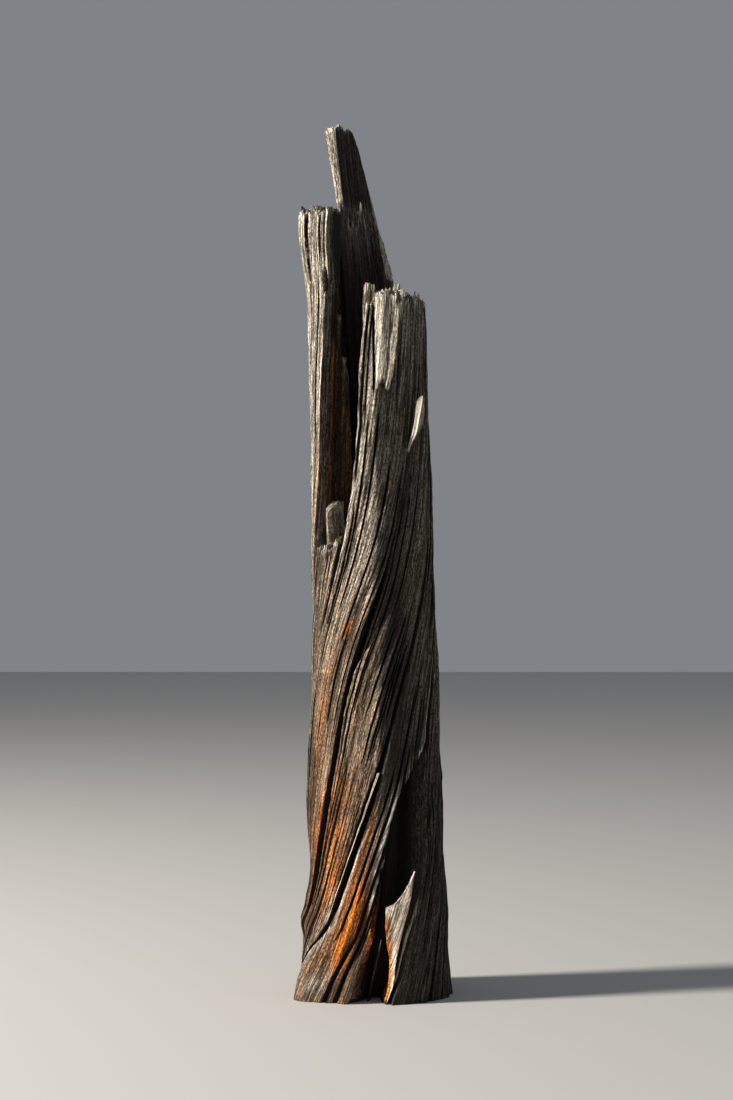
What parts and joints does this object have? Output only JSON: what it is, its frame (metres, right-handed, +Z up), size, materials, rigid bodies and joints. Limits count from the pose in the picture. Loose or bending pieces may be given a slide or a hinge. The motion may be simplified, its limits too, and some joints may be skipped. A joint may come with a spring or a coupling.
{
  "type": "standing dead tree trunk",
  "caption": "Broken, hollow standing dead pine trunk with spiral grain, split into staves round a heart, with a tall splinter at the back and a flared foot cut flat at ground level.",
  "frame": {"origin": "centre of the heartwood's flat cut at ground level, which is the mount ground", "axes": "+Z up along the trunk, -Y towards the viewer of the picture, who sees the hollow's opening, +X to the viewer's right"},
  "size_m": [0.627, 0.6416, 3.5081],
  "materials": {
    "weathered_wood": "weathered, grey, grained along the spiral, matt",
    "broken_wood": "pale, fibrous, matt",
    "inner_wood": "dark red-brown, decayed, matt",
    "stained_wood": "orange-brown, resin-stained, matt"
  },
  "bodies": {
    "root": {"heartwood": "inner_wood", "front_left_stave": "weathered_wood", "front_stave": "weathered_wood", "right_stave": "weathered_wood", "tall_stave": "weathered_wood", "back_stave": "weathered_wood", "left_stave": "weathered_wood", "broken_stave": "weathered_wood", "back_lining": "inner_wood", "left_lining": "inner_wood", "left_inner_sheet": "inner_wood", "hollow_stump": "broken_wood", "front_slab": "broken_wood", "rim_block": "broken_wood", "crack_sliver": "broken_wood", "crack_lath": "broken_wood", "base_wedge": "broken_wood", "base_stub": "stained_wood"}
  },
  "joints": []
}
